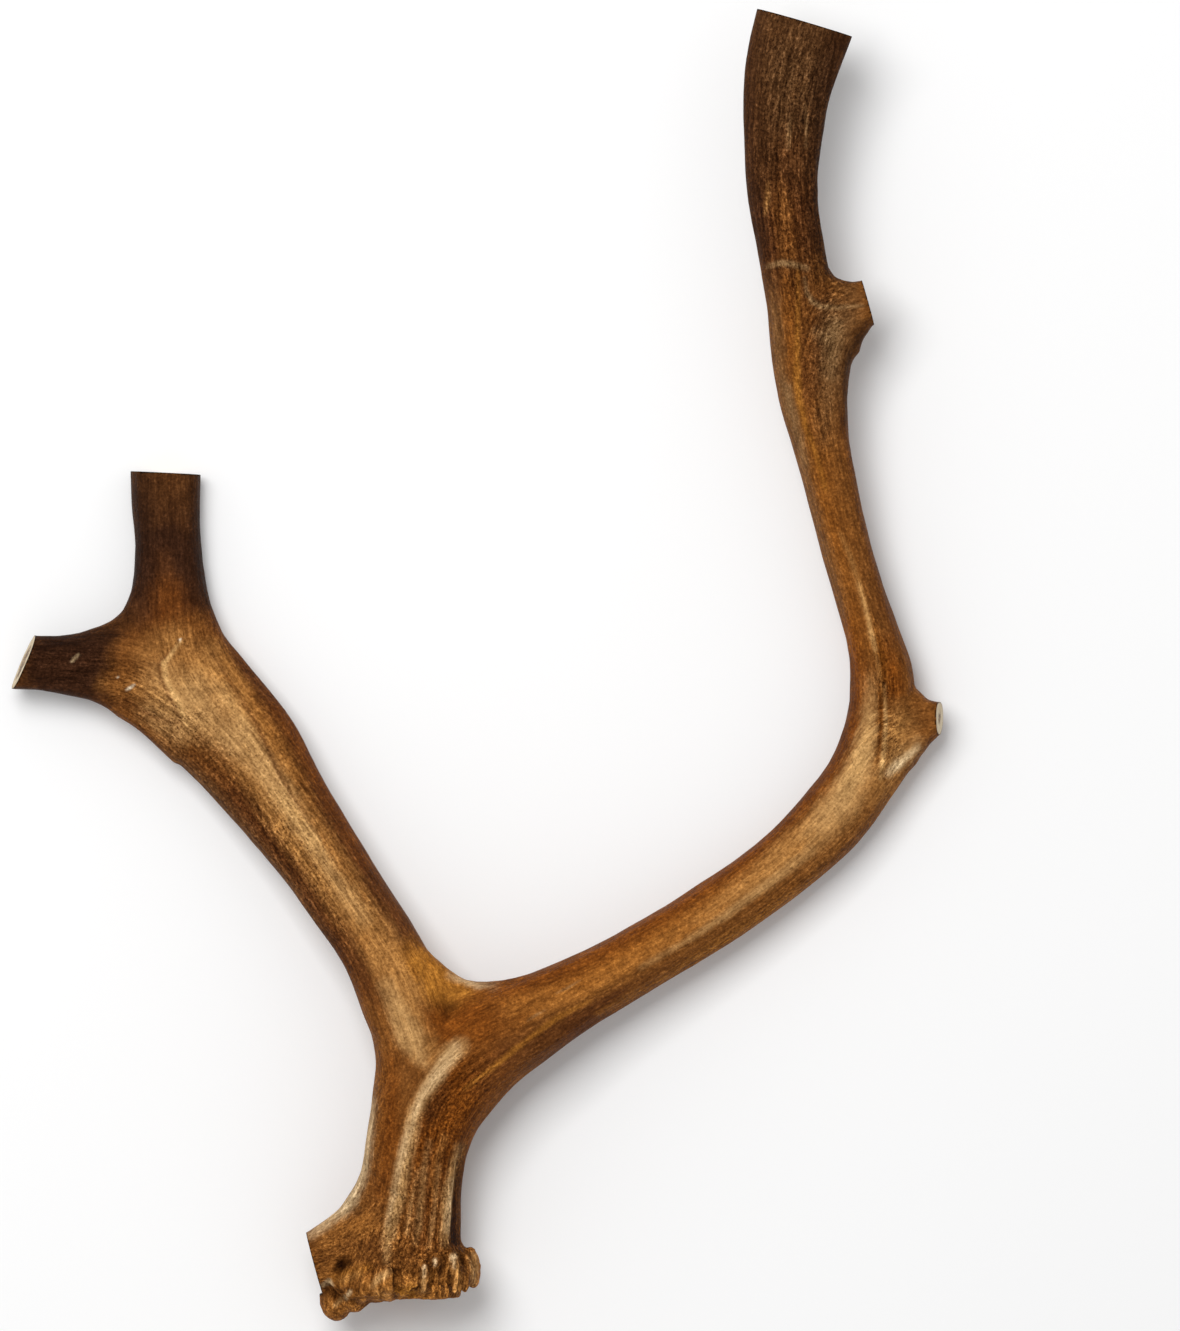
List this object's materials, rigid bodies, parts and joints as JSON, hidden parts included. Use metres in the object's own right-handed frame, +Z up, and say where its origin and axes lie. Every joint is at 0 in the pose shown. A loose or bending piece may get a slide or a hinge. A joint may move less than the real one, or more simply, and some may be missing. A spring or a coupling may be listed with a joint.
{
  "type": "reindeer antler dog chew",
  "caption": "Shed reindeer antler for a dog to chew, lying on its side: knobbed burr, short brow stub, forked bez tine and a long curved beam, all sawn off flat.",
  "frame": {"origin": "centre of the bounding box's base, on the floor that the antler lies on", "axes": "+Y from the burr towards the sawn end of the main beam, +X towards the side that the main beam bows to, +Z up from the floor"},
  "size_m": [0.28, 0.3928, 0.0441],
  "materials": {
    "antler": "satin, natural bone stained brown, pale at worn spots and sawn ends"
  },
  "bodies": {
    "root": {"burr_stem": "antler", "bez_tine": "antler", "bez_upper_point": "antler", "bez_front_point": "antler", "main_beam": "antler"}
  },
  "joints": []
}
